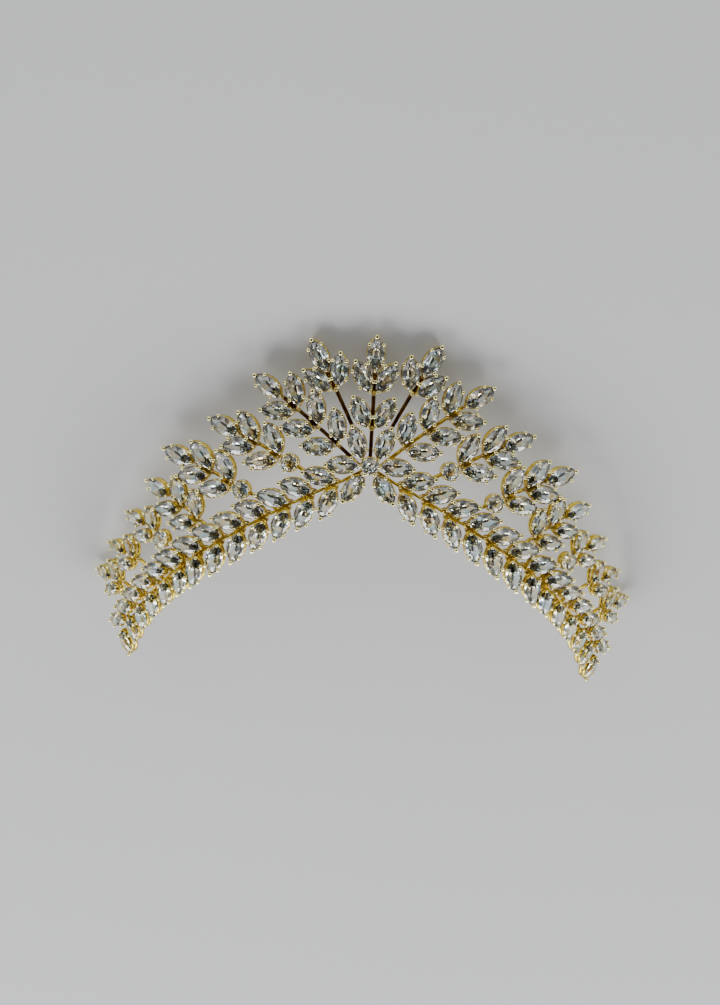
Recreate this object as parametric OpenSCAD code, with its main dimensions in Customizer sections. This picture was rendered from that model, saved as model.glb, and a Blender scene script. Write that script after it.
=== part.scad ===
// Engagement tiara: a soldered metal frame that carries a flower, a fan of leaf sprays, six side sprays on each
// side and two rows of leaf-shaped stones along the band.
// It is set out on an upright curved wall, s along it from the middle and h up it, and then laid down so that it
// rests face up on the tips of its two inner sprays and of its two last side sprays. X is across, +Z is up, and
// the floor is z = 0.

/* [Wall] */
// Radius of the front arc, seen from above
front_r = 125; // [115:1:140]
// Radius of the two side arcs
side_r = 62; // [56:1:70]
// Length of the front arc on each side of the middle
front_half = 50; // [46:1:54]
// Outward lean of the wall from upright, in degrees
flare = 26; // [20:1:30]

/* [Stones] */
// Length of a leaf-shaped stone
leaf_len = 8; // [7.6:0.1:8.2]
// Width of a leaf-shaped stone
leaf_wid = 4; // [3.8:0.1:4.1]
// Length of the middle-sized leaf stones, at the ends of the rows and in the third side spray
mid_len = 6.6; // [6.4:0.1:6.7]
// Width of the middle-sized leaf stones
mid_wid = 3.4; // [3.3:0.1:3.5]
// Length of the small leaf stones of the last three side sprays
small_len = 5.6; // [5.4:0.1:5.7]
// Width of the small leaf stones
small_wid = 2.9; // [2.8:0.1:3]
// Diameter of a round stone
round_dia = 4; // [3.8:0.1:4.1]
// Height of a stone above its girdle
crown = 0.9; // [0.7:0.1:1.1]
// Depth of a stone below its girdle
pavilion = 1.7; // [1.4:0.1:1.9]

/* [Settings and wires] */
// Wall thickness of a setting around its stone
rim = 0.5; // [0.45:0.05:0.6]
// Depth of a setting behind the girdle
cup_depth = 2.6; // [2.4:0.1:3]
// Free space between a stone and its seat
seat_gap = 0.1; // [0.06:0.02:0.14]
// Diameter of the stem and band wires
wire_dia = 1.1; // [1:0.1:1.3]
// Diameter of the solder joint where a pair of leaves meets its stem
joint_dia = 2.2; // [2.1:0.1:2.4]

/* [Band] */
// Stones in each row on each side
row_count = 13; // [9:1:13]
// Level distance from one large row stone to the next
row_step = 6.15; // [6.1:0.05:6.3]
// Level distance from one middle-sized row stone to the next
end_step = 5.3; // [5.25:0.05:5.4]
// Extra lean of the lower row, in degrees
lower_lean = 15; // [8:1:18]

/* [Hidden] */
$fn = 48;
// Row columns: s of the first stone, its h, number of large stones, direction of the tip
UPPER = [12.95, -3.0, 8, 13];
LOWER = [10.6, -9.95, 7, -66];
// Fall of the rows per level millimetre, and how far down from the upper row to the lower the band wire runs
row_fall = 0.45;
band_share = 0.475;
// Where the band wire starts, under the flower, and where it passes the first lower stone
BAND_START = [1.6, -1.2];
BAND_BEND = [7.5, -4.45];
// Petal columns: s and h of the inner end, direction, on the right half
PETALS = [
    [1.95, 1.45, 71],
    [2.35, 0.1, -1],
    [1.4, -1.95, -55]
];
// Spray columns: s and h of the root, lean of the stem, wire behind the root, pairs of leaves, way from the root
// to the first pair, way between pairs, way to the tip leaf, spread of the first pair, loss of spread per pair,
// 1 for a round stone at the root, size of its leaves: 0 large, 1 middle, 2 small
FAN = [0, 0, 90, 0, 2, 9.6, 8.9, 5.3, 29, 1, 0, 0];
NEAR = [4.9, 9.9, 64, 0.8, 1, 10.2, 0, 4.9, 29, 0, 0, 0];
BRANCH = [5.2, 2.2, 41, 3.4, 3, 4.1, 6.8, 4.9, 38, 1, 0, 0];
SIDE = [
    [20.6, 0.4, 31, 11.2, 2, 2.9, 6.8, 5.0, 34, 6, 1, 0],
    [33.8, -6.1, 31.5, 10.7, 2, 2.9, 6.4, 5.2, 35, 7, 1, 0],
    [44.95, -15.3, 43, 5.6, 2, 2.9, 5.6, 4.5, 38, 3, 0, 1],
    [60, -17, 44, 9.8, 1, 2.6, 0, 3.6, 38, 0, 1, 2],
    [70.5, -22.6, 42, 8.6, 1, 2.3, 0, 3.6, 38, 0, 0, 2],
    [81.3, -27.2, 41, 8.4, 1, 2.3, 0, 3.6, 38, 0, 0, 2]
];
// How far the leaves of a pair start from the stem's line, and how far the centre stone stands forward
pair_off = 0.8;
centre_forward = 0.7;
// Depth of the stems' line and of the band's line behind the girdles
wire_back = 2.4;
band_back = 1.6;
// Depth of the solder joints' middles, and how far the centre stone's setting is deeper than the others
joint_back = 2;
centre_deep = 0.4;
// Depth of a setting's seat, and how far the ledge under the stone reaches in from the stone's edge
seat_depth = 0.95;
ledge = 0.8;
// Half the thickness of a stone's edge, and how far its keel lies in from the edge
girdle_half = 0.15;
keel_in = 1.9;
// How far each straight of wire runs past its ends
wire_lap = 0.3;
// How far the laid tiara is moved back, which puts the origin in the middle of its front-to-back size
lay_shift = 15.82;

// The wall: its turn, plan point and three directions at s, and a point on it
front_turn = front_half / front_r * 180 / PI;
function turn(s) = s < front_half ? s / front_r * 180 / PI
    : front_turn + (s - front_half) / side_r * 180 / PI;
function plan(s) = s < front_half ? front_r * [sin(turn(s)), 1 - cos(turn(s)), 0]
    : front_r * [sin(front_turn), 1 - cos(front_turn), 0]
      + side_r * [sin(turn(s)) - sin(front_turn), cos(front_turn) - cos(turn(s)), 0];
function along(s) = [cos(turn(s)), sin(turn(s)), 0];
function outward(s) = [sin(turn(s)), -cos(turn(s)), 0];
function up_wall(s) = sin(flare) * outward(s) + [0, 0, cos(flare)];
function facing(s) = cos(flare) * outward(s) - [0, 0, sin(flare)];
function wall_point(s, h, z = 0) = plan(s) + h * up_wall(s) + z * facing(s);

// The wall is narrower below h = 0, so a way along it covers more of s there
function reach(p) = 1 + p[1] * sin(flare) / (p[0] < front_half ? front_r : side_r);
function move(p, way, a) = [p[0] + way * cos(a) / reach(p), p[1] + way * sin(a)];

// A leaf is [s, h, direction, size] at its middle; a spray's leaves and joints follow from its row
leaf_lens = [leaf_len, mid_len, small_len];
leaf_wids = [leaf_wid, mid_wid, small_wid];
function arc_r(size) = (pow(leaf_lens[size], 2) + pow(leaf_wids[size], 2)) / 4 / leaf_wids[size];
function arc_off(size) = arc_r(size) - leaf_wids[size] / 2;
function leaf_half(size) = sqrt(pow(arc_r(size) + rim, 2) - pow(arc_off(size), 2));
function leaf_at(p, a, size) = concat(move(p, leaf_half(size), a), [a, size]);
function root(row) = [row[0], row[1]];
function joint_way(row, k) = row[5] + k * row[6];
function joint_at(row, k) = move(root(row), joint_way(row, k), row[2]);
function tip_base(row) = move(root(row), joint_way(row, row[4] - 1) + row[7], row[2]);
function spray_leaves(row) = concat(
    [for (k = [0 : row[4] - 1]) for (side = [-1, 1])
        leaf_at(move(joint_at(row, k), pair_off, row[2] + side * 90),
            row[2] + side * (row[8] - k * row[9]), row[11])],
    [leaf_at(tip_base(row), row[2], row[11])]);
function petal_leaves() = [for (p = PETALS) leaf_at([p[0], p[1]], p[2], 0)];
function level_step(row, k) = k < row[2] ? row_step : end_step;
function row_point(row, k) = k == 0 ? root(row)
    : let(p = row_point(row, k - 1), d = level_step(row, k)) [p[0] + d / reach(p), p[1] - row_fall * d];
function row_leaves(row) =
    [for (k = [0 : row_count - 1]) concat(row_point(row, k), [row[3], k < row[2] ? 0 : 1])];

// Lay-down: the backs of the inner sprays' tip leaves and of the last side sprays' tip leaves touch the floor
function back_tip(leaf) =
    wall_point(leaf[0], leaf[1])
    + leaf_half(leaf[3]) * (cos(leaf[2]) * along(leaf[0]) + sin(leaf[2]) * up_wall(leaf[0]))
    - cup_depth * facing(leaf[0]);
top_rest = back_tip(leaf_at(tip_base(NEAR), NEAR[2], 0));
end_rest = back_tip(leaf_at(tip_base(SIDE[5]), SIDE[5][2], SIDE[5][11]));
rest_step = end_rest - top_rest;
lay_angle = 180 - atan2(rest_step[2], rest_step[1]);
rest_drop = top_rest[1] * sin(lay_angle) + top_rest[2] * cos(lay_angle);

module laid() {
    translate([0, lay_shift, -rest_drop])
        rotate([lay_angle, 0, 0])
            children();
}

module on_wall(s, h, z = 0, lean = 0) {
    translate(wall_point(s, h, z))
        rotate([0, 0, turn(s)])
            rotate([90 + flare + lean, 0, 0])
                children();
}

// Leaf shapes: what two discs share
module leaf_disc(size, grow, top, low) {
    intersection_for(side = [-1, 1])
        translate([0, side * arc_off(size), -low])
            cylinder(r = arc_r(size) + grow, h = top + low, $fn = 96);
}

module stone_disc(r, flat) {
    rotate_extrude($fn = 96)
        polygon([
            [0, -pavilion * flat], [r - flat * keel_in, -pavilion * flat], [r, -girdle_half],
            [r, girdle_half], [r - crown - girdle_half, crown], [0, crown]
        ]);
}

module leaf_stone(size) {
    intersection_for(side = [-1, 1])
        translate([0, side * arc_off(size), 0])
            stone_disc(arc_r(size), leaf_wids[size] / leaf_wid);
}

module round_stone() {
    r = round_dia / 2;
    rotate_extrude()
        polygon([
            [0, -pavilion], [0.1, -pavilion], [r, -girdle_half],
            [r, girdle_half], [r - crown, crown], [0, crown]
        ]);
}

module place_leaf(leaf, lean = 0) {
    on_wall(leaf[0], leaf[1], 0, lean)
        rotate([0, 0, leaf[2]])
            children();
}

module stones(leaves, lean = 0) {
    for (leaf = leaves)
        place_leaf(leaf, lean)
            leaf_stone(leaf[3]);
}

// Settings
module cup(size) {
    difference() {
        leaf_disc(size, rim, 0.1, cup_depth);
        leaf_disc(size, seat_gap, 1, seat_depth);
        leaf_disc(size, -ledge, 1, cup_depth + 1);
    }
}

module cups(leaves, lean = 0) {
    for (leaf = leaves)
        place_leaf(leaf, lean)
            cup(leaf[3]);
}

module round_cup(deep = 0) {
    difference() {
        translate([0, 0, -cup_depth - deep])
            cylinder(d = round_dia + 2 * rim, h = cup_depth + deep + 0.1);
        translate([0, 0, -seat_depth])
            cylinder(d = round_dia + 2 * seat_gap, h = seat_depth + 1);
        translate([0, 0, -cup_depth - deep - 1])
            cylinder(d = round_dia - 2 * ledge, h = cup_depth + deep + 2);
    }
}

// Wires between two points of the wall
module wire(p, q, p_back, q_back) {
    a = wall_point(p[0], p[1], -p_back);
    b = wall_point(q[0], q[1], -q_back);
    d = b - a;
    translate(a)
        rotate([0, acos(d[2] / norm(d)), atan2(d[1], d[0])])
            translate([0, 0, -wire_lap])
                cylinder(d = wire_dia, h = norm(d) + 2 * wire_lap, $fn = 24);
}

module bead(p, dia, back) {
    translate(wall_point(p[0], p[1], -back))
        sphere(d = dia, $fn = 24);
}

module spray_wires(row) {
    wire(move(root(row), -row[3], row[2]), tip_base(row), wire_back, wire_back);
    for (k = [0 : row[4] - 1]) bead(joint_at(row, k), joint_dia, joint_back);
    bead(tip_base(row), joint_dia, joint_back);
}

function band_point(k) = (1 - band_share) * row_point(UPPER, k) + band_share * row_point(LOWER, k);

module band_wire() {
    wire(BAND_START, BAND_BEND, wire_back, band_back);
    wire(BAND_BEND, band_point(0), band_back, band_back);
    for (k = [0 : row_count - 2])
        wire(band_point(k), band_point(k + 1), band_back, band_back);
}

module round_at(p, z = 0) {
    on_wall(p[0], p[1], z) children();
}

module half_metal() {
    cups(petal_leaves());
    cups(spray_leaves(NEAR));
    cups(spray_leaves(BRANCH));
    for (row = SIDE) {
        cups(spray_leaves(row));
        spray_wires(row);
        if (row[10] == 1) round_at(row) round_cup();
    }
    cups(row_leaves(UPPER));
    cups(row_leaves(LOWER), lower_lean);
    spray_wires(NEAR);
    spray_wires(BRANCH);
    band_wire();
}

module both() {
    children();
    mirror([1, 0, 0]) children();
}

module frame() {
    color("goldenrod")
        laid() {
            both() half_metal();
            cups(spray_leaves(FAN));
            spray_wires(FAN);
            round_at([0, 0], centre_forward) round_cup(centre_deep);
        }
}

module centre_stone() {
    color("white") laid() round_at([0, 0], centre_forward) round_stone();
}

module petal_stones() {
    color("white") laid() both() stones(petal_leaves());
}

module fan_stones() {
    color("white") laid() stones(spray_leaves(FAN));
}

// The stones of one side; left is the side at -X
module side_of(left) {
    color("white")
        laid() {
            if (left) mirror([1, 0, 0]) children();
            else children();
        }
}

module spray_stones(row, left) {
    side_of(left) {
        stones(spray_leaves(row));
        if (row[10] == 1) round_at(row) round_stone();
    }
}

module left_inner_spray_stones() {
    spray_stones(NEAR, true);
}

module left_branch_stones() {
    spray_stones(BRANCH, true);
}

module left_side_spray_1_stones() {
    spray_stones(SIDE[0], true);
}

module left_side_spray_2_stones() {
    spray_stones(SIDE[1], true);
}

module left_side_spray_3_stones() {
    spray_stones(SIDE[2], true);
}

module left_side_spray_4_stones() {
    spray_stones(SIDE[3], true);
}

module left_side_spray_5_stones() {
    spray_stones(SIDE[4], true);
}

module left_side_spray_6_stones() {
    spray_stones(SIDE[5], true);
}

module left_upper_row_stones() {
    side_of(true) stones(row_leaves(UPPER));
}

module left_lower_row_stones() {
    side_of(true) stones(row_leaves(LOWER), lower_lean);
}

module right_inner_spray_stones() {
    spray_stones(NEAR, false);
}

module right_branch_stones() {
    spray_stones(BRANCH, false);
}

module right_side_spray_1_stones() {
    spray_stones(SIDE[0], false);
}

module right_side_spray_2_stones() {
    spray_stones(SIDE[1], false);
}

module right_side_spray_3_stones() {
    spray_stones(SIDE[2], false);
}

module right_side_spray_4_stones() {
    spray_stones(SIDE[3], false);
}

module right_side_spray_5_stones() {
    spray_stones(SIDE[4], false);
}

module right_side_spray_6_stones() {
    spray_stones(SIDE[5], false);
}

module right_upper_row_stones() {
    side_of(false) stones(row_leaves(UPPER));
}

module right_lower_row_stones() {
    side_of(false) stones(row_leaves(LOWER), lower_lean);
}

frame();
centre_stone();
petal_stones();
fan_stones();
left_inner_spray_stones();
left_branch_stones();
left_side_spray_1_stones();
left_side_spray_2_stones();
left_side_spray_3_stones();
left_side_spray_4_stones();
left_side_spray_5_stones();
left_side_spray_6_stones();
left_upper_row_stones();
left_lower_row_stones();
right_inner_spray_stones();
right_branch_stones();
right_side_spray_1_stones();
right_side_spray_2_stones();
right_side_spray_3_stones();
right_side_spray_4_stones();
right_side_spray_5_stones();
right_side_spray_6_stones();
right_upper_row_stones();
right_lower_row_stones();
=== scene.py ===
import math
import random
from collections import namedtuple
from functools import partial

import bmesh
import bpy
from bpy.props import FloatProperty, FloatVectorProperty, PointerProperty
from mathutils import Matrix, Vector


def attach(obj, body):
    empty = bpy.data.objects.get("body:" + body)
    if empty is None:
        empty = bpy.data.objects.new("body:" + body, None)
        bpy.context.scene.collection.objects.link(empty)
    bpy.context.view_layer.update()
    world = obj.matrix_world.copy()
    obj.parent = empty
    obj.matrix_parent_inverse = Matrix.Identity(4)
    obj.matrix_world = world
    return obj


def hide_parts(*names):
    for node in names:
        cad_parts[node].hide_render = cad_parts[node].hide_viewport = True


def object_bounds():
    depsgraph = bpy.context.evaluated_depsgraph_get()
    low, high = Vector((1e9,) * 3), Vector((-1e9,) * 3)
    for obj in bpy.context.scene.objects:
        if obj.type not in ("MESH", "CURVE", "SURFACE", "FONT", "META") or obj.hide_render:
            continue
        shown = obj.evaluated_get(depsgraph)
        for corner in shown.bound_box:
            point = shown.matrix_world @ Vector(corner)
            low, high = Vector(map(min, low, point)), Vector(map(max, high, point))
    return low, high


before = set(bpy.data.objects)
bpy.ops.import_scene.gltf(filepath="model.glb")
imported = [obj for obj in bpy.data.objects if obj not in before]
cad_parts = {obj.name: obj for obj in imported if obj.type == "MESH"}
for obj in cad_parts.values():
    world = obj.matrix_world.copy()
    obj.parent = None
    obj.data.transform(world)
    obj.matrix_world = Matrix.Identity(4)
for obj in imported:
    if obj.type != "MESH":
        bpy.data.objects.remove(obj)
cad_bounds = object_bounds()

bl_info = {
    "name": "Engagement Tiara",
    "version": (1, 0, 0),
    "blender": (4, 5, 0),
    "location": "View3D > Sidebar > Tiara",
    "description": "Cut stones, pronged settings and stem wires of a tiara, with a stage to show it on",
    "category": "Object",
}

MM = 0.001
LARGE, MIDDLE, SMALL = range(3)

# The layout, in millimetres and degrees on the wall: s along it from the middle, h up it.
# A spray: its root, the lean of its stem, how far the stem runs on behind the root, its pairs of leaves, the way
# from the root to the first pair, between pairs and on to the tip leaf, the spread of the first pair, how much less
# each later pair has, whether a round stone is at the root, and the size of its leaves.
Spray = namedtuple("Spray", "s h lean foot pairs first step tip spread less round size")
# A leaf: the place of its middle, the direction of its tip, its size, and its lean out of the wall.
Leaf = namedtuple("Leaf", "s h way size lean")
# A row along the band: the place of its first leaf, its number of large leaves, their direction and lean.
Row = namedtuple("Row", "s h large way lean")

FAN = Spray(0, 0, 90, 0, 2, 9.6, 8.9, 5.3, 29, 1, False, LARGE)
INNER = Spray(4.9, 9.9, 64, 0.8, 1, 10.2, 0, 4.9, 29, 0, False, LARGE)
BRANCH = Spray(5.2, 2.2, 41, 3.4, 3, 4.1, 6.8, 4.9, 38, 1, False, LARGE)
SIDE = (
    Spray(20.6, 0.4, 31, 11.2, 2, 2.9, 6.8, 5.0, 34, 6, True, LARGE),
    Spray(33.8, -6.1, 31.5, 10.7, 2, 2.9, 6.4, 5.2, 35, 7, True, LARGE),
    Spray(44.95, -15.3, 43, 5.6, 2, 2.9, 5.6, 4.5, 38, 3, False, MIDDLE),
    Spray(60, -17, 44, 9.8, 1, 2.6, 0, 3.6, 38, 0, True, SMALL),
    Spray(70.5, -22.6, 42, 8.6, 1, 2.3, 0, 3.6, 38, 0, False, SMALL),
    Spray(81.3, -27.2, 41, 8.4, 1, 2.3, 0, 3.6, 38, 0, False, SMALL),
)
UPPER = Row(12.95, -3.0, 8, 13, 0)
LOWER = Row(10.6, -9.95, 7, -66, 15)
# The petals of the right half: s and h of the inner end, direction
PETALS = ((1.95, 1.45, 71), (2.35, 0.1, -1), (1.4, -1.95, -55))
# Leaves in a row, the level steps between large and between middle-sized ones, and the fall per level step
ROW_COUNT = 13
ROW_STEP = 6.15
END_STEP = 5.3
ROW_FALL = 0.45
# How far down from the upper row to the lower the band wire runs, and its two places before the rows
BAND_SHARE = 0.475
BAND_START = (1.6, -1.2)
BAND_BEND = (7.5, -4.45)
# How far a pair's leaves start from the stem's line, and how far the centre stone stands forward
PAIR_OFF = 0.8
CENTRE_FORWARD = 0.7
# Depth of the stems, the band wire and the solder joints behind the stones' edges
WIRE_BACK = 2.4
BAND_BACK = 2.1
JOINT_BACK = 2.0
# How far the laid tiara is moved back, which puts the origin in the middle of its front-to-back size
LAY_SHIFT = 15.82
# Straights in a stem wire, and sides of a wire
WIRE_STEPS = 10
WIRE_SIDES = 8
# Seeds of the random leans, turns and sizes; those of stones on the left side are LEFT_SEED further
CENTRE_SEED, PETAL_SEED, FAN_SEED, SPRAY_SEED, ROW_SEED, JOINT_SEED = 3, 5, 7, 11, 71, 97
LEFT_SEED = 20


def length(label, default, description):
    """A size in metres that the sidebar shows."""
    return FloatProperty(name=label, description=description, default=default, min=0.0, unit="LENGTH", precision=5)


def angle(label, default, description):
    """An angle that the sidebar shows."""
    return FloatProperty(name=label, description=description, default=math.radians(default), subtype="ANGLE")


def colour(label, default, description):
    """A colour that the sidebar shows."""
    return FloatVectorProperty(name=label, description=description, default=default, size=3, min=0.0, max=1.0,
                               subtype="COLOR")


class TiaraWall(bpy.types.PropertyGroup):
    front_radius: length("Front radius", 0.125, "Radius of the front arc, seen from above")
    side_radius: length("Side radius", 0.062, "Radius of the two side arcs")
    front_half: length("Front half", 0.05, "Length of the front arc on each side of the middle")
    flare: angle("Flare", 26, "Outward lean of the wall from upright")


class TiaraStones(bpy.types.PropertyGroup):
    large_length: length("Large length", 0.008, "Length of a large leaf stone")
    large_width: length("Large width", 0.004, "Width of a large leaf stone")
    middle_length: length("Middle length", 0.0066, "Length of a middle-sized leaf stone")
    middle_width: length("Middle width", 0.0034, "Width of a middle-sized leaf stone")
    small_length: length("Small length", 0.0056, "Length of a small leaf stone")
    small_width: length("Small width", 0.0029, "Width of a small leaf stone")
    round_diameter: length("Round diameter", 0.004, "Diameter of a round stone")
    crown: length("Crown", 0.0009, "Height of a stone above its edge")
    pavilion: length("Pavilion", 0.0017, "Depth of a large stone below its edge")
    clear: colour("Clear", (0.97, 0.98, 0.98), "Colour of the stones")


class TiaraMetal(bpy.types.PropertyGroup):
    rim: length("Rim", 0.0005, "How far a setting stands out around its stone")
    depth: length("Setting depth", 0.0026, "Depth of a setting behind the stone's edge")
    bead: length("Prong bead", 0.0011, "Diameter of the bead on a prong")
    prong: length("Prong wire", 0.0005, "Diameter of a prong below its bead")
    wire: length("Stem wire", 0.00105, "Diameter of the stem wires")
    band: length("Band wire", 0.0008, "Diameter of the band wire")
    joint: length("Solder joint", 0.0018, "Diameter of the solder joint of a pair of leaves")
    # Lemon: the beads' gold, paler than the rails' as a painted highlight; also the solder's light tone
    lemon: colour("Lemon gold", (1.0, 0.93, 0.50), "Colour of the beads, painted paler than the rails for their highlights")
    pale: colour("Pale gold", (0.90, 0.72, 0.10), "Colour of the rails and wires")
    # A near-black gold put on some stems: painted shade and dark reflection
    painted_shade: colour("Painted shade gold", (0.065, 0.02, 0.008), "Colour of the stems that lie in the fan's shade")
    # Deep: the darker end of the random tone clouds; the settings' rails lean far toward it as painted shade
    deep: colour("Deep gold", (0.45, 0.26, 0.01), "Darker end of the tone clouds: painted shade deep in the settings, and the joints' own tone")


class TiaraStage(bpy.types.PropertyGroup):
    floor_colour: colour("Floor", (0.56, 0.57, 0.59), "Colour of the floor")
    floor_size: length("Floor size", 3.0, "Side of the square floor")
    distance: length("Camera distance", 0.4474, "From the camera to the flower")
    azimuth: angle("Azimuth", 0.16, "Turn of the camera round the upright tiara")
    elevation: angle("Elevation", -20.71, "Height of the camera over the upright tiara")
    roll: angle("Roll", 3.15, "Roll of the camera")
    side_shift: FloatProperty(name="Side shift", description="Camera moved across the view", default=-0.00198,
                              unit="LENGTH", precision=5)
    up_shift: FloatProperty(name="Up shift", description="Camera moved up the view", default=-0.00926,
                            unit="LENGTH", precision=5)
    focal: FloatProperty(name="Focal length", description="In millimetres on a sensor 36 wide", default=88.40,
                         min=1.0)


class Wall:
    """The curved wall that the tiara is set out on, and how it is laid down. Millimetres and degrees."""

    def __init__(self, scene):
        sizes, stones, metal = scene.tiara_wall, scene.tiara_stones, scene.tiara_metal
        self.front_radius = sizes.front_radius / MM
        self.side_radius = sizes.side_radius / MM
        self.front_half = sizes.front_half / MM
        self.flare = sizes.flare
        self.front_turn = self.front_half / self.front_radius
        self.lengths = [value / MM for value in (stones.large_length, stones.middle_length, stones.small_length)]
        self.widths = [value / MM for value in (stones.large_width, stones.middle_width, stones.small_width)]
        self.rim = metal.rim / MM
        self.depth = metal.depth / MM
        top = self.back_tip(self.leaf_at(self.tip_base(INNER), INNER.lean, INNER.size))
        end = self.back_tip(self.leaf_at(self.tip_base(SIDE[5]), SIDE[5].lean, SIDE[5].size))
        step = end - top
        turned = Matrix.Rotation(math.pi - math.atan2(step.z, step.y), 4, "X")
        self.laid = Matrix.Translation((0, LAY_SHIFT, -(turned @ top).z)) @ turned

    def turn(self, s):
        if s < self.front_half:
            return s / self.front_radius
        return self.front_turn + (s - self.front_half) / self.side_radius

    def plan(self, s):
        turn, front = self.turn(s), self.front_turn
        if s < self.front_half:
            return Vector((math.sin(turn), 1 - math.cos(turn), 0)) * self.front_radius
        return (Vector((math.sin(front), 1 - math.cos(front), 0)) * self.front_radius
                + Vector((math.sin(turn) - math.sin(front), math.cos(front) - math.cos(turn), 0)) * self.side_radius)

    def along(self, s):
        return Vector((math.cos(self.turn(s)), math.sin(self.turn(s)), 0))

    def outward(self, s):
        return Vector((math.sin(self.turn(s)), -math.cos(self.turn(s)), 0))

    def up(self, s):
        return math.sin(self.flare) * self.outward(s) + Vector((0, 0, math.cos(self.flare)))

    def facing(self, s):
        return math.cos(self.flare) * self.outward(s) - Vector((0, 0, math.sin(self.flare)))

    def point(self, place, forward=0.0):
        return self.plan(place[0]) + place[1] * self.up(place[0]) + forward * self.facing(place[0])

    def reach(self, place):
        """How much of s a millimetre along the wall covers at this height."""
        radius = self.front_radius if place[0] < self.front_half else self.side_radius
        return 1 + place[1] * math.sin(self.flare) / radius

    def move(self, place, way, lean):
        lean = math.radians(lean)
        return (place[0] + way * math.cos(lean) / self.reach(place), place[1] + way * math.sin(lean))

    def arc(self, size, grow=0.0):
        """Radius of a leaf outline's two arcs, and how far their centres are off its middle line."""
        radius = (self.lengths[size] ** 2 + self.widths[size] ** 2) / 4 / self.widths[size]
        return radius + grow, radius - self.widths[size] / 2

    def leaf_half(self, size, grow):
        radius, off = self.arc(size, grow)
        return math.sqrt(radius ** 2 - off ** 2)

    def leaf_at(self, place, way, size, lean=0):
        s, h = self.move(place, self.leaf_half(size, self.rim), way)
        return Leaf(s, h, way, size, lean)

    def joint(self, spray, pair):
        return self.move((spray.s, spray.h), spray.first + pair * spray.step, spray.lean)

    def tip_base(self, spray):
        way = spray.first + (spray.pairs - 1) * spray.step + spray.tip
        return self.move((spray.s, spray.h), way, spray.lean)

    def foot(self, spray):
        return self.move((spray.s, spray.h), -spray.foot, spray.lean)

    def back_tip(self, leaf):
        way = math.radians(leaf.way)
        return (self.point(leaf, -self.depth) + self.leaf_half(leaf.size, self.rim)
                * (math.cos(way) * self.along(leaf.s) + math.sin(way) * self.up(leaf.s)))

    def spray_leaves(self, spray):
        leaves = []
        for pair in range(spray.pairs):
            for side in (-1, 1):
                start = self.move(self.joint(spray, pair), PAIR_OFF, spray.lean + side * 90)
                way = spray.lean + side * (spray.spread - pair * spray.less)
                leaves.append(self.leaf_at(start, way, spray.size))
        return leaves + [self.leaf_at(self.tip_base(spray), spray.lean, spray.size)]

    def petal_leaves(self):
        return [self.leaf_at(petal[:2], petal[2], LARGE) for petal in PETALS]

    def row_points(self, row):
        points = [(row.s, row.h)]
        for k in range(1, ROW_COUNT):
            step = ROW_STEP if k < row.large else END_STEP
            s, h = points[-1]
            points.append((s + step / self.reach((s, h)), h - ROW_FALL * step))
        return points

    def row_leaves(self, row):
        return [Leaf(s, h, row.way, LARGE if k < row.large else MIDDLE, row.lean)
                for k, (s, h) in enumerate(self.row_points(row))]

    def band_points(self):
        pairs = zip(self.row_points(UPPER), self.row_points(LOWER))
        return [BAND_START, BAND_BEND] + [
            tuple((1 - BAND_SHARE) * a + BAND_SHARE * b for a, b in zip(upper, lower)) for upper, lower in pairs]

    def on_wall(self, place, forward=0.0, lean=0.0, way=0.0):
        """Matrix that stands a template on the wall, in upright millimetres."""
        return (Matrix.Translation(self.point(place, forward)) @ Matrix.Rotation(self.turn(place[0]), 4, "Z")
                @ Matrix.Rotation(math.pi / 2 + self.flare + math.radians(lean), 4, "X")
                @ Matrix.Rotation(math.radians(way), 4, "Z"))

    def down(self, left=False):
        """Matrix from upright millimetres to the laid tiara in metres, mirrored for the left side."""
        side = Matrix.Scale(-1 if left else 1, 4, (1, 0, 0))
        return Matrix.Scale(MM, 4) @ self.laid @ side


# Mesh making

def add_copy(bm, template, matrix):
    """Adds a copy of a template mesh, placed by a matrix."""
    start = len(bm.verts)
    bm.from_mesh(template)
    bm.verts.ensure_lookup_table()
    bmesh.ops.transform(bm, matrix=matrix, verts=bm.verts[start:])


def finish_mesh(bm, name, smooth):
    """Makes a mesh of the bmesh, with every shell's faces pointing outwards."""
    bmesh.ops.recalc_face_normals(bm, faces=bm.faces)
    for face in bm.faces:
        face.smooth = smooth
    mesh = bpy.data.meshes.new(name)
    bm.to_mesh(mesh)
    bm.free()
    return mesh


def add_piece(mesh, materials, nodes):
    """Makes an object of a placed mesh, which rides on the tiara and stands for the CAD nodes."""
    for material in materials:
        mesh.materials.append(material)
    piece = bpy.data.objects.new(mesh.name, mesh)
    bpy.context.scene.collection.objects.link(piece)
    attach(piece, "root")
    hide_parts(*nodes)
    return piece


def close_holes(bm):
    bmesh.ops.holes_fill(bm, edges=[edge for edge in bm.edges if edge.is_boundary])


def round_point(radius, turn):
    """Point of a round outline."""
    return Vector((math.cos(turn), math.sin(turn), 0)) * radius


def leaf_point(wall, size, turn, grow=0.0):
    """Point of a leaf outline, for a turn from 0 at the tip to 2 pi."""
    radius, off = wall.arc(size, grow)
    half = math.acos(off / radius)
    side = 1 if turn < math.pi else -1
    a = half * (1 - 2 * (turn % math.pi) / math.pi) * side
    return Vector((radius * math.sin(a), side * (radius * math.cos(a) - off), 0))


# A ring of a cut stone: points, half steps turned, size against the outline, height against crown or pavilion
CUT_RINGS = (
    (8, 0, 0.50, 1.0),
    (8, 1, 0.78, 0.64),
    (16, 1, 0.90, 0.41),
    (16, 0, 1.0, 0.14),
    (16, 0, 1.0, -0.07),
    (8, 0, 0.80, -0.34),
    (8, 1, 0.50, -0.64),
)
# Length of a stone's keel against the stone's, and how far the stone reaches over its rail
KEEL = 0.16
STONE_OVER = 0.3
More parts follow.
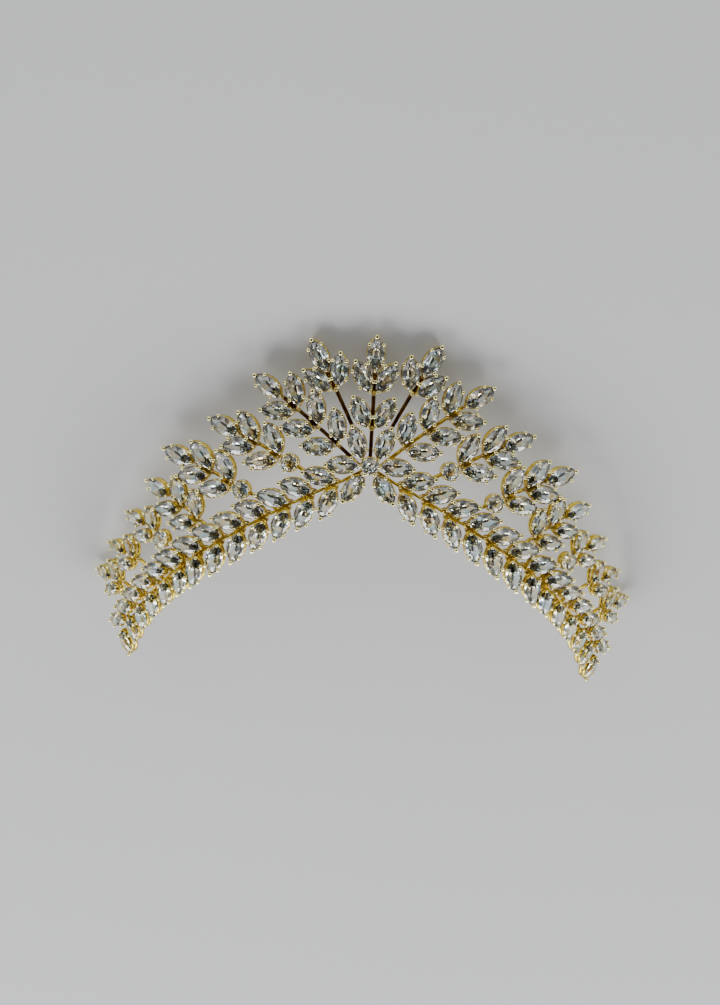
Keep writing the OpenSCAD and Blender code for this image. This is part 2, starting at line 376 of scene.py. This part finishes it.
# A prong: its thickness at the foot and the neck against its wire, how far the neck is below the bead's middle,
# the bead's round side in degrees, its flat top as shares of its radius, and the sides of the turned shape
PRONG_FOOT, PRONG_NECK, NECK_DOWN = 0.9, 0.95, 0.8
BEAD_ROUND = (-50, -20, 10, 38)
BEAD_FLAT = ((0.60, 0.80), (0.50, 0.84), (0.0, 0.85))
PRONG_SIDES = 8
MERGE = 0.001


def cut_stone(name, outline, crown, pavilion, keel):
    """A faceted stone: rings of points on its outline, closed by flat facets. keel is half its bottom edge."""
    bm = bmesh.new()
    for count, half_steps, grow, height in CUT_RINGS:
        ring = bmesh.ops.create_circle(bm, segments=count, radius=1)["verts"]
        for k, vert in enumerate(ring):
            point = outline((2 * k + half_steps) * math.pi / count % (2 * math.pi)) * grow
            vert.co = (point.x, point.y, height * (crown if height > 0 else pavilion))
    for x in sorted({-keel, 0.0, keel}):
        bmesh.ops.create_vert(bm, co=(x, 0, -pavilion))
    hull = bmesh.ops.convex_hull(bm, input=bm.verts)
    inner = {item for item in hull["geom_interior"] if isinstance(item, bmesh.types.BMVert)}
    bmesh.ops.delete(bm, geom=list(inner), context="VERTS")
    loose = [edge for edge in bm.edges if not edge.link_faces]
    bmesh.ops.delete(bm, geom=loose, context="EDGES")
    return finish_mesh(bm, name, False)


def prong(reach, bead, wire):
    """A prong that stands on its foot with its bead's middle at reach: a turned profile."""
    profile = [(0.0, 0.0), (wire * PRONG_FOOT, 0.0), (wire, reach * 0.5),
               (wire * PRONG_NECK, reach - NECK_DOWN * bead)]
    profile += [(bead * math.cos(math.radians(a)), reach + bead * math.sin(math.radians(a))) for a in BEAD_ROUND]
    profile += [(r * bead, reach + z * bead) for r, z in BEAD_FLAT]
    bm = bmesh.new()
    verts = [bm.verts.new((r, 0, z)) for r, z in profile]
    edges = [bm.edges.new(pair) for pair in zip(verts, verts[1:])]
    bmesh.ops.spin(bm, geom=verts + edges, cent=(0, 0, 0), axis=(0, 0, 1), angle=2 * math.pi,
                   steps=PRONG_SIDES, use_merge=True)
    bmesh.ops.remove_doubles(bm, verts=bm.verts, dist=MERGE)
    return finish_mesh(bm, "prong template", True)


def add_prong(bm, foot, head, bead, wire):
    """Adds a prong from its foot to the middle of its bead."""
    turn = Vector((0, 0, 1)).rotation_difference(head - foot).to_matrix().to_4x4()
    add_copy(bm, prong((head - foot).length, bead, wire), Matrix.Translation(foot) @ turn)


# Sides of a rail's section, its steps around a leaf's arc and around a round stone, and the sweep that closes it
RAIL_SIDES = 6
LEAF_RAIL_STEPS = 7
ROUND_RAIL_STEPS = 20
NEARLY_FULL = 6.28


def add_rail_arc(bm, centre, radius, start, sweep, back, thick, tall, steps):
    """A rail of oval section, spun around a centre from a start angle."""
    ring = bmesh.ops.create_circle(bm, segments=RAIL_SIDES, radius=1)["verts"]
    section = Matrix(((0, 0, 1, 0), (thick, 0, 0, radius), (0, tall, 0, -back), (0, 0, 0, 1)))
    bmesh.ops.transform(bm, matrix=section, verts=ring)
    bmesh.ops.transform(bm, matrix=Matrix.Translation(centre) @ Matrix.Rotation(start, 4, "Z"), verts=ring)
    edges = list({edge for vert in ring for edge in vert.link_edges})
    full = abs(sweep) > NEARLY_FULL
    bmesh.ops.spin(bm, geom=ring + edges, cent=centre, axis=(0, 0, 1), angle=sweep, steps=steps, use_merge=full)


def as_basket(bm):
    """A fresh bmesh that holds the rails so far, in the basket's material."""
    for face in bm.faces:
        face.material_index = 1
    rails = finish_mesh(bm, "rails template", True)
    fresh = bmesh.new()
    fresh.from_mesh(rails)
    return fresh


# A setting's rails: how far out from the stone's edge, how far back, half thickness, half height
TOP_RAIL = (0.22, 0.72, 0.26, 0.60)
LOW_RAIL = (0.20, 2.00, 0.30, 0.60)
# How far a bead's middle is out from the stone's edge (at the sides, at the two ends, on a round stone) and up
BEAD_OUT, TIP_OUT, ROUND_OUT = 0.34, 0.2, 0.28
BEAD_UP = 0.34
# How far a prong's foot is out from the stone's edge and up from the setting's back
FOOT_OUT = 0.02
FOOT_UP = 0.05
# Where the side prongs stand, as a share of half the outline
PAIR_WAY = 0.27
# Sizes of the tip's, the base's and a round setting's beads, and of all beads by the size of the leaf
TIP_BEAD, BASE_BEAD, ROUND_BEAD = 1.28, 0.8, 0.92
BEAD_SHARES = (1.0, 0.88, 0.80)
ROUND_PRONGS = 6
# How much deeper the centre stone's setting is
CENTRE_DEEP = 0.4
# Solder joints: size under a tip leaf, ranges of a joint's three sizes, sizes at a row leaf's base and their range
END_JOINT = 0.6
JOINT_RANGES = ((0.85, 1.0), (0.75, 0.9), (0.8, 0.95))
ROW_JOINT = (1.25, 0.85, 0.8)
ROW_JOINT_RANGE = (0.85, 1.1)


def leaf_setting(wall, metal, size):
    """A leaf setting: two rails, a large beaded prong at its tip, a small one at its base and two on each side."""
    bead, wire = metal.bead / MM / 2 * BEAD_SHARES[size], metal.prong / MM / 2
    bm = bmesh.new()
    for grow, back, thick, tall in (TOP_RAIL, LOW_RAIL):
        radius, off = wall.arc(size, grow)
        half = math.acos(off / radius)
        for side in (0, math.pi):
            centre = Vector((0, -off if side == 0 else off, 0))
            add_rail_arc(bm, centre, radius, side + half, -2 * half, back, thick, tall, LEAF_RAIL_STEPS)
    close_holes(bm)
    bm = as_basket(bm)
    tips = [(0.0, TIP_BEAD), (math.pi, BASE_BEAD)]
    sides = [(turn, 1.0) for turn in (math.pi * PAIR_WAY, math.pi * (1 - PAIR_WAY),
                                      math.pi * (1 + PAIR_WAY), math.pi * (2 - PAIR_WAY))]
    for turn, share in tips + sides:
        out = TIP_OUT if turn in (0.0, math.pi) else BEAD_OUT
        head = leaf_point(wall, size, turn, out) + Vector((0, 0, BEAD_UP))
        foot = leaf_point(wall, size, turn, FOOT_OUT) + Vector((0, 0, -wall.depth + FOOT_UP))
        add_prong(bm, foot, head, bead * share, wire)
    return finish_mesh(bm, "leaf setting template", True)


def round_setting(wall, metal, radius, deep=0.0):
    """A round setting: two rails and beaded prongs around them."""
    bead, wire = metal.bead / MM / 2, metal.prong / MM / 2
    bm = bmesh.new()
    for grow, back, thick, tall in (TOP_RAIL, (LOW_RAIL[0], LOW_RAIL[1] + deep, *LOW_RAIL[2:])):
        add_rail_arc(bm, Vector((0, 0, 0)), radius + grow, 0.0, 2 * math.pi, back, thick, tall, ROUND_RAIL_STEPS)
    bm = as_basket(bm)
    for k in range(ROUND_PRONGS):
        turn = 2 * math.pi * k / ROUND_PRONGS
        head = round_point(radius + ROUND_OUT, turn) + Vector((0, 0, BEAD_UP))
        foot = round_point(radius + FOOT_OUT, turn) + Vector((0, 0, -wall.depth - deep + FOOT_UP))
        add_prong(bm, foot, head, bead * ROUND_BEAD, wire)
    return finish_mesh(bm, "round setting template", True)


def add_tube(bm, points, normals, radius):
    """A round wire through the points, closed at both ends."""
    rings = []
    for k, point in enumerate(points):
        ahead = points[min(k + 1, len(points) - 1)] - points[max(k - 1, 0)]
        ahead.normalize()
        side = normals[k].cross(ahead).normalized()
        face = ahead.cross(side)
        place = Matrix((side, face, ahead)).transposed().to_4x4()
        place.translation = point
        ring = bmesh.ops.create_circle(bm, segments=WIRE_SIDES, radius=radius, matrix=place)["verts"]
        rings.append(list({edge for vert in ring for edge in vert.link_edges}))
    for first, second in zip(rings, rings[1:]):
        bmesh.ops.bridge_loops(bm, edges=first + second)
    for ring in (rings[0], rings[-1]):
        bmesh.ops.holes_fill(bm, edges=ring)


def wire_path(wall, first, last, back):
    """Points and normals of a wire that runs behind the wall from one place to another."""
    points, normals = [], []
    for k in range(WIRE_STEPS + 1):
        share = k / WIRE_STEPS
        place = tuple((1 - share) * a + share * b for a, b in zip(first, last))
        points.append(wall.point(place, -back))
        normals.append(wall.facing(place[0]))
    return points, normals


# Materials

class Link:
    """A shader socket. Arithmetic on it adds Math nodes."""

    def __init__(self, finish, socket):
        self.finish = finish
        self.socket = socket

    def math(self, operation, first, second=0.0):
        return self.finish.node("ShaderNodeMath", {"operation": operation}, {0: first, 1: second})

    def __add__(self, other):
        return self.math("ADD", self, other)

    __radd__ = __add__

    def __sub__(self, other):
        return self.math("SUBTRACT", self, other)

    def __rsub__(self, other):
        return self.math("SUBTRACT", other, self)

    def __mul__(self, other):
        return self.math("MULTIPLY", self, other)

    __rmul__ = __mul__


class Finish:
    """The nodes of a material or a world. node() adds a node and gives back one of its outputs."""

    def __init__(self, owner):
        self.owner = owner
        owner.use_nodes = True
        self.tree = owner.node_tree
        self.tree.nodes.clear()

    def node(self, kind, settings=None, inputs=None, out=0):
        made = self.tree.nodes.new(kind)
        for key, value in (settings or {}).items():
            if key == "stops":
                ramp = made.color_ramp.elements
                while len(ramp) < len(value):
                    ramp.new(0.5)
                for element, (position, tone) in zip(ramp, value):
                    element.position = position
                    element.color = tone
            else:
                setattr(made, key, value)
        for key, value in (inputs or {}).items():
            socket = made.inputs[key]
            if isinstance(value, Link):
                self.tree.links.new(value.socket, socket)
            else:
                socket.default_value = value
        return Link(self, made.outputs[out])

    def noise(self, scale, detail=2.0):
        place = self.node("ShaderNodeTexCoord", out="Object")
        return self.node("ShaderNodeTexNoise", {}, {"Vector": place, "Scale": scale, "Detail": detail})

    def mix(self, share, first, second):
        return self.node("ShaderNodeMix", {"data_type": "RGBA"}, {"Factor": share, "A": first, "B": second},
                         "Result")

    def surface(self, inputs):
        shader = self.node("ShaderNodeBsdfPrincipled", {}, inputs)
        return self.end("ShaderNodeOutputMaterial", shader)

    def end(self, kind, shader):
        last = self.tree.nodes.new(kind)
        self.tree.links.new(shader.socket, last.inputs["Surface"])
        return self.owner


def clamp(finish, value, low, high):
    return finish.node("ShaderNodeMapRange", {"clamp": True},
                       {"Value": value, "From Min": low, "From Max": high, "To Min": 0.0, "To Max": 1.0})


def rgba(values):
    return (*values, 1.0)


# Gold: edges of its tone clouds, scale and detail of the polishing marks and of the hammered waves, the marks'
# share in the bump and in the roughness, what the roughness loses for them, and the bump
CLOUD_EDGES = (0.35, 0.7)
MARKS, WAVES = (5200.0, 3.0), (1500.0, 1.0)
MARKS_BUMP, MARKS_ROUGH, ROUGH_LESS = 0.25, 0.08, 0.03
BUMP = {"Strength": 0.18, "Distance": 0.00008}


def gold(name, pale, deep, share, rough, cloud=420.0, depth=0.35):
    """Plated and polished gold: tone clouds, fine polishing marks and a faint hammered bump."""
    finish = Finish(bpy.data.materials.new(name))
    clouds = clamp(finish, finish.noise(cloud), *CLOUD_EDGES)
    marks = finish.noise(*MARKS)
    waves = finish.noise(*WAVES)
    tone = finish.mix(clouds * depth + share, rgba(pale), rgba(deep))
    bump = finish.node("ShaderNodeBump", {}, {**BUMP, "Height": waves + marks * MARKS_BUMP})
    return finish.surface({"Base Color": tone, "Metallic": 1.0,
                           "Roughness": marks * MARKS_ROUGH + (rough - ROUGH_LESS), "Normal": bump})


# A stone's colour play, painted fire: scale of its cells, hue of the amber ones and the spread of hues, how far the
# cool ones are from them, saturation of the amber ones and how much less the cool ones have, and the play's share in
# the colour
CELL_SCALE = 650.0
AMBER_HUE, HUE_SPREAD, COOL_STEP = 0.09, 0.08, 0.40
AMBER_DEPTH, COOL_LESS = 0.95, 0.4
PLAY_SHARE = 0.85
STONE_IOR = 1.95


def clear_stone(name, tint):
    """A clear cut stone, in which small cells have amber or cool tints: painted fire, for the coloured light that
    its facets split.
    """
    finish = Finish(bpy.data.materials.new(name))
    place = finish.node("ShaderNodeTexCoord", out="Object")
    cells = finish.node("ShaderNodeTexVoronoi", {}, {"Vector": place, "Scale": CELL_SCALE}, "Color")
    red = finish.node("ShaderNodeSeparateColor", {}, {"Color": cells}, "Red")
    cool = red.math("ROUND", red)
    hue = cool * COOL_STEP + red * HUE_SPREAD + AMBER_HUE
    depth = finish.node("ShaderNodeSeparateColor", {}, {"Color": cells}, "Green")
    colours = finish.node("ShaderNodeCombineColor", {"mode": "HSV"}, {
        "Red": hue, "Green": depth * (AMBER_DEPTH - cool * COOL_LESS), "Blue": 1.0})
    # Painted fire: the amber and cool cells mixed into the clear colour
    painted_fire = finish.mix(PLAY_SHARE, rgba(tint), colours)
    return finish.surface({"Base Color": painted_fire, "Roughness": 0.0, "IOR": STONE_IOR, "Transmission Weight": 1.0})


# The studio's air has a dark opening with a bright ring around it. The way to its middle is the one that the flat
# tops of the front's beads mirror.
OPENING_WAY = (0.0, 0.31, 0.95)
# The air's tones, by cosine of the angle from that way
AIR_STOPS = (
    (0.0, (0.50, 0.50, 0.50)),
    (0.22, (2.50, 2.44, 2.25)),
    (0.42, (0.70, 0.70, 0.68)),
    (0.60, (0.18, 0.18, 0.19)),
    (0.90, (0.18, 0.18, 0.19)),
    (0.94, (0.01, 0.01, 0.012)),
)


def studio_air():
    """A world that is grey low down, bright in a ring higher up, dim inside the ring and dark in the opening."""
    finish = Finish(bpy.data.worlds.new("studio air"))
    way = finish.node("ShaderNodeTexCoord", out="Generated")
    near = finish.node("ShaderNodeVectorMath", {"operation": "DOT_PRODUCT"}, {0: way, 1: OPENING_WAY}, "Value")
    stops = [(position, rgba(tone)) for position, tone in AIR_STOPS]
    tone = finish.node("ShaderNodeValToRGB", {"stops": stops}, {"Fac": near})
    shader = finish.node("ShaderNodeBackground", {}, {"Color": tone, "Strength": 1.0})
    return finish.end("ShaderNodeOutputWorld", shader)


# Operators

def stone_templates(wall, stones):
    """The leaf stones by size, and the round one."""
    crown, pavilion = stones.crown / MM, stones.pavilion / MM
    leaves = []
    for size in (LARGE, MIDDLE, SMALL):
        flat = wall.widths[size] / wall.widths[LARGE]
        outline = partial(leaf_point, wall, size, grow=STONE_OVER)
        leaves.append(cut_stone("leaf stone template", outline, crown, pavilion * flat,
                                KEEL * wall.lengths[size] / 2))
    outline = partial(round_point, stones.round_diameter / MM / 2 + STONE_OVER)
    return {"leaf_stones": leaves, "round_stone": cut_stone("round stone template", outline, crown, pavilion, 0.0)}


def setting_templates(wall, metal, radius):
    """The leaf settings by size, the round one and the centre stone's deeper one."""
    return {"leaf_settings": [leaf_setting(wall, metal, size) for size in (LARGE, MIDDLE, SMALL)],
            "round_setting": round_setting(wall, metal, radius),
            "centre_setting": round_setting(wall, metal, radius, CENTRE_DEEP)}


def finishes(metal, stones):
    """The golds and the clear stone."""
    # The beads' lemon gold is paler than the rails': a painted highlight
    return {"bright": gold("lemon gold with painted highlight", metal.lemon, metal.pale, share=0.0, rough=0.08),
            # The settings' rails lean far toward the deep gold: random tone clouds and painted shade deep in the
            # settings
            "basket": gold("setting gold", metal.pale, metal.deep, share=0.0, rough=0.15, cloud=900.0, depth=0.8),
            "stem": gold("drawn wire gold", metal.pale, metal.deep, share=0.1, rough=0.18, cloud=700.0, depth=0.6),
            # Near-black stem gold: painted shade and dark reflection
            "painted_shade": gold("wire gold with painted shade", metal.painted_shade, metal.deep, share=0.0, rough=0.12),
            "solder": gold("solder gold", metal.lemon, metal.deep, share=0.2, rough=0.22, cloud=1100.0, depth=0.8),
            "clear": clear_stone("clear cut stone", stones.clear)}


class Maker:
    """What the operators share: the wall, the templates and the materials."""
    cache = {}

    @classmethod
    def get(cls, scene):
        if "wall" not in cls.cache:
            wall, stones, metal = Wall(scene), scene.tiara_stones, scene.tiara_metal
            cls.cache.update(wall=wall)
            cls.cache.update(stone_templates(wall, stones))
            cls.cache.update(setting_templates(wall, metal, stones.round_diameter / MM / 2))
            cls.cache.update(finishes(metal, stones))
        return cls.cache


# Largest lean of a stone in its seat and largest turn of a round stone, in degrees
STONE_TILT = 2.6
ROUND_TURN = 45


def stone_piece(name, kit, leaves, left, rounds, seed):
    """One node's stones, each leaned a little in its seat as hand-set stones are."""
    wall, rng = kit["wall"], random.Random(seed)
    bm = bmesh.new()
    for leaf in leaves:
        tilt = [Matrix.Rotation(math.radians(rng.uniform(-STONE_TILT, STONE_TILT)), 4, axis) for axis in "XYZ"]
        place = wall.on_wall(leaf, 0.0, leaf.lean, leaf.way) @ tilt[0] @ tilt[1] @ tilt[2]
        add_copy(bm, kit["leaf_stones"][leaf.size], wall.down(left) @ place)
    for place, forward in rounds:
        spin = rng.uniform(0, ROUND_TURN)
        add_copy(bm, kit["round_stone"], wall.down(left) @ wall.on_wall(place, forward, 0, spin))
    mesh = finish_mesh(bm, name + "_cut", False)
    return add_piece(mesh, [kit["clear"]], [name])


def sprays():
    """Name and table row of each spray that is on both sides."""
    named = [("inner_spray", INNER), ("branch", BRANCH)]
    return named + [("side_spray_%d" % (k + 1), spray) for k, spray in enumerate(SIDE)]


class TIARA_OT_stones(bpy.types.Operator):
    """Makes the cut stones of the flower, the sprays and the rows"""
    bl_idname = "tiara.stones"
    bl_label = "Cut Stones"

    def execute(self, context):
        kit = Maker.get(context.scene)
        wall = kit["wall"]
        stone_piece("centre_stone", kit, [], False, [((0, 0), CENTRE_FORWARD)], CENTRE_SEED)
        # The petals of the right half, then their mirrored copies in the same mesh
        right = stone_piece("petal_stones", kit, wall.petal_leaves(), False, (), PETAL_SEED)
        mirrored = bmesh.new()
        mirrored.from_mesh(right.data)
        bmesh.ops.mirror(mirrored, geom=mirrored.verts[:] + mirrored.edges[:] + mirrored.faces[:],
                         axis="X", merge_dist=0.0)
        bmesh.ops.recalc_face_normals(mirrored, faces=mirrored.faces)
        mirrored.to_mesh(right.data)
        mirrored.free()
        stone_piece("fan_stones", kit, wall.spray_leaves(FAN), False, (), FAN_SEED)
        for side, left in (("left", True), ("right", False)):
            for k, (name, spray) in enumerate(sprays()):
                rounds = [((spray.s, spray.h), 0.0)] if spray.round else []
                stone_piece("%s_%s_stones" % (side, name), kit, wall.spray_leaves(spray), left, rounds,
                            SPRAY_SEED + k + LEFT_SEED * left)
            for k, (name, row) in enumerate((("upper", UPPER), ("lower", LOWER))):
                stone_piece("%s_%s_row_stones" % (side, name), kit, wall.row_leaves(row), left, (),
                            ROW_SEED + k + LEFT_SEED * left)
        return {"FINISHED"}


class TIARA_OT_settings(bpy.types.Operator):
    """Makes the pronged settings that hold the stones"""
    bl_idname = "tiara.settings"
    bl_label = "Pronged Settings"

    def execute(self, context):
        kit = Maker.get(context.scene)
        wall = kit["wall"]
        groups = {"flower_settings": ([], [((0, 0), CENTRE_FORWARD, "centre_setting")], (False,)),
                  "petal_settings": (wall.petal_leaves(), [], (False, True)),
                  "fan_settings": (wall.spray_leaves(FAN), [], (False,))}
        for side, left in (("left", True), ("right", False)):
            inner = wall.spray_leaves(INNER) + wall.spray_leaves(BRANCH)
            outer = [leaf for spray in SIDE for leaf in wall.spray_leaves(spray)]
            rounds = [((spray.s, spray.h), 0.0, "round_setting") for spray in SIDE if spray.round]
            groups[side + "_branch_settings"] = (inner, [], (left,))
            groups[side + "_side_spray_settings"] = (outer, rounds, (left,))
            groups[side + "_upper_row_settings"] = (wall.row_leaves(UPPER), [], (left,))
            groups[side + "_lower_row_settings"] = (wall.row_leaves(LOWER), [], (left,))
        for name, (leaves, rounds, lefts) in groups.items():
            bm = bmesh.new()
            for left in lefts:
                for leaf in leaves:
                    place = wall.on_wall(leaf, 0.0, leaf.lean, leaf.way)
                    add_copy(bm, kit["leaf_settings"][leaf.size], wall.down(left) @ place)
                for place, forward, kind in rounds:
                    add_copy(bm, kit[kind], wall.down(left) @ wall.on_wall(place, forward))
            add_piece(finish_mesh(bm, name, True), [kit["bright"], kit["basket"]], ["frame"])
        return {"FINISHED"}


class TIARA_OT_wires(bpy.types.Operator):
    """Makes the stem wires, the band wires and the solder joints"""
    bl_idname = "tiara.wires"
    bl_label = "Wires and Joints"

    def execute(self, context):
        kit = Maker.get(context.scene)
        wall, metal = kit["wall"], context.scene.tiara_metal
        stem, band = metal.wire / MM / 2, metal.band / MM / 2
        for side, left in (("left", True), ("right", False)):
            # The fan's stem comes with the right side. The inner spray's, the fan's and the left branch's stems get
            # a near-black gold: painted shade and dark reflection
            painted_shade = [INNER, BRANCH] if left else [INNER, FAN]
            open_stems = [spray for name, spray in sprays() if spray not in painted_shade]
            self.stems(side + "_stem_wires", left, kit, "stem", open_stems, stem)
            self.stems(side + "_inner_stem_wires", left, kit, "painted_shade", painted_shade, stem)
            bm = bmesh.new()
            places = wall.band_points()
            points = [wall.point(places[0], -WIRE_BACK)] + [wall.point(place, -BAND_BACK) for place in places[1:]]
            add_tube(bm, points, [wall.facing(place[0]) for place in places], band)
            bmesh.ops.transform(bm, matrix=wall.down(left), verts=bm.verts)
            add_piece(finish_mesh(bm, side + "_band_wire", True), [kit["stem"]], ["frame"])
            self.joints(side, left, kit, metal.joint / MM / 2)
        return {"FINISHED"}

    def stems(self, name, left, kit, finish, stemmed, radius):
        """The stem wires of some sprays of one side."""
        wall = kit["wall"]
        bm = bmesh.new()
        for spray in stemmed:
            path = wire_path(wall, wall.foot(spray), wall.tip_base(spray), WIRE_BACK)
            add_tube(bm, *path, radius)
        bmesh.ops.transform(bm, matrix=wall.down(left), verts=bm.verts)
        add_piece(finish_mesh(bm, name, True), [kit[finish]], ["frame"])

    def joints(self, side, left, kit, radius):
        """A squashed lump of solder at each pair, each tip leaf and each row leaf's base."""
        wall, rng = kit["wall"], random.Random(JOINT_SEED + left)
        bm = bmesh.new()
        for name, spray in sprays() + ([] if left else [("fan", FAN)]):
            places = [(wall.joint(spray, pair), 1.0) for pair in range(spray.pairs)]
            for place, share in places + [(wall.tip_base(spray), END_JOINT)]:
                lump = bmesh.ops.create_icosphere(bm, subdivisions=2, radius=radius * share)["verts"]
                sizes = [rng.uniform(*limits) for limits in JOINT_RANGES]
                squash = Matrix.Diagonal((*sizes, 1.0))
                stand = wall.on_wall(place, -JOINT_BACK, 0, spray.lean)
                bmesh.ops.transform(bm, matrix=stand @ squash, verts=lump)
        for leaf in wall.row_leaves(UPPER) + wall.row_leaves(LOWER):
            base = wall.move((leaf.s, leaf.h), -wall.leaf_half(leaf.size, wall.rim), leaf.way)
            lump = bmesh.ops.create_icosphere(bm, subdivisions=2, radius=radius)["verts"]
            squash = Matrix.Diagonal((*[size * rng.uniform(*ROW_JOINT_RANGE) for size in ROW_JOINT], 1.0))
            bmesh.ops.transform(bm, matrix=wall.on_wall(base, -BAND_BACK, 0, leaf.way) @ squash, verts=lump)
        bmesh.ops.transform(bm, matrix=wall.down(left), verts=bm.verts)
        add_piece(finish_mesh(bm, side + "_solder_joints", True), [kit["solder"]], ["frame"])


def add_area(name, place, aim, size, power):
    """Adds a softbox that faces a point."""
    data = bpy.data.lights.new(name, "AREA")
    data.shape = "RECTANGLE"
    data.size, data.size_y = size
    data.energy = power
    lamp = bpy.data.objects.new(name, data)
    bpy.context.scene.collection.objects.link(lamp)
    lamp.location = place
    lamp.rotation_euler = (Vector(aim) - Vector(place)).to_track_quat("-Z", "Y").to_euler()


# Softboxes: name, place and size in metres, power in watts
SOFTBOXES = (
    ("low_left_softbox", (-0.5, -0.9, 0.65), (0.7, 0.5), 13.0),
    ("low_right_softbox", (0.6, -0.8, 0.60), (0.6, 0.5), 9.0),
    ("high_left_softbox", (-0.5, 0.95, 0.50), (0.8, 0.5), 3.0),
    ("high_right_softbox", (0.5, 0.95, 0.45), (0.8, 0.5), 2.5),
)


# The floor: scale of its tone clouds, how much darker they are, its roughness
FLOOR_CLOUDS, FLOOR_DARKER, FLOOR_ROUGH = 3.0, 0.97, 0.75
SENSOR_WIDTH = 36
CLIP = (0.01, 10)


class TIARA_OT_stage(bpy.types.Operator):
    """Makes the floor, the softboxes and the camera"""
    bl_idname = "tiara.stage"
    bl_label = "Stage"

    def execute(self, context):
        scene = context.scene
        stage = scene.tiara_stage
        bm = bmesh.new()
        bmesh.ops.create_grid(bm, x_segments=1, y_segments=1, size=stage.floor_size / 2)
        floor = bpy.data.objects.new("floor", finish_mesh(bm, "floor", False))
        scene.collection.objects.link(floor)
        finish = Finish(bpy.data.materials.new("pale studio floor"))
        tone = finish.mix(finish.noise(FLOOR_CLOUDS), rgba(stage.floor_colour),
                          rgba([value * FLOOR_DARKER for value in stage.floor_colour]))
        floor.data.materials.append(finish.surface({"Base Color": tone, "Roughness": FLOOR_ROUGH}))
        low, high = cad_bounds
        middle = (Vector(low) + Vector(high)) / 2
        for name, place, size, power in SOFTBOXES:
            add_area(name, place, middle, size, power)
        scene.world = studio_air()
        self.camera(scene, stage, Maker.get(scene)["wall"])
        return {"FINISHED"}

    def camera(self, scene, stage, wall):
        """Sets the camera on the upright tiara, then lays it down with it."""
        azimuth, elevation, roll = stage.azimuth, stage.elevation, stage.roll
        right = Vector((math.cos(azimuth), -math.sin(azimuth), 0))
        ahead = Vector((math.sin(azimuth) * math.cos(elevation), math.cos(azimuth) * math.cos(elevation),
                        -math.sin(elevation)))
        up = right.cross(ahead)
        spot = right * stage.side_shift + up * stage.up_shift - ahead * stage.distance
        across = math.cos(roll) * right + math.sin(roll) * up
        above = -math.sin(roll) * right + math.cos(roll) * up
        place = Matrix((across, above, -ahead)).transposed().to_4x4()
        place.translation = spot / MM
        down = wall.laid @ place
        down.translation = down.translation * MM
        data = bpy.data.cameras.new("camera")
        data.sensor_fit = "HORIZONTAL"
        data.sensor_width = SENSOR_WIDTH
        data.lens = stage.focal
        data.clip_start, data.clip_end = CLIP
        camera = bpy.data.objects.new("camera", data)
        scene.collection.objects.link(camera)
        camera.matrix_world = down
        scene.camera = camera


class TIARA_PT_panel(bpy.types.Panel):
    """Lists the tiara's operators and sizes"""
    bl_idname = "TIARA_PT_panel"
    bl_label = "Tiara"
    bl_space_type = "VIEW_3D"
    bl_region_type = "UI"
    bl_category = "Tiara"

    def draw(self, context):
        for operator in OPERATORS:
            self.layout.operator(operator.bl_idname)
        for name in GROUPS:
            group = getattr(context.scene, name)
            box = self.layout.box()
            for key in group.__annotations__:
                box.prop(group, key)


GROUPS = {"tiara_wall": TiaraWall, "tiara_stones": TiaraStones, "tiara_metal": TiaraMetal,
          "tiara_stage": TiaraStage}
OPERATORS = (TIARA_OT_stones, TIARA_OT_settings, TIARA_OT_wires, TIARA_OT_stage)
CLASSES = (*GROUPS.values(), *OPERATORS, TIARA_PT_panel)


def register():
    for item in CLASSES:
        bpy.utils.register_class(item)
    for name, group in GROUPS.items():
        setattr(bpy.types.Scene, name, PointerProperty(type=group))


def unregister():
    for name in GROUPS:
        delattr(bpy.types.Scene, name)
    for item in reversed(CLASSES):
        bpy.utils.unregister_class(item)


def main():
    register()
    bpy.ops.tiara.stones()
    bpy.ops.tiara.settings()
    bpy.ops.tiara.wires()
    bpy.ops.tiara.stage()


if __name__ == "__main__":
    main()
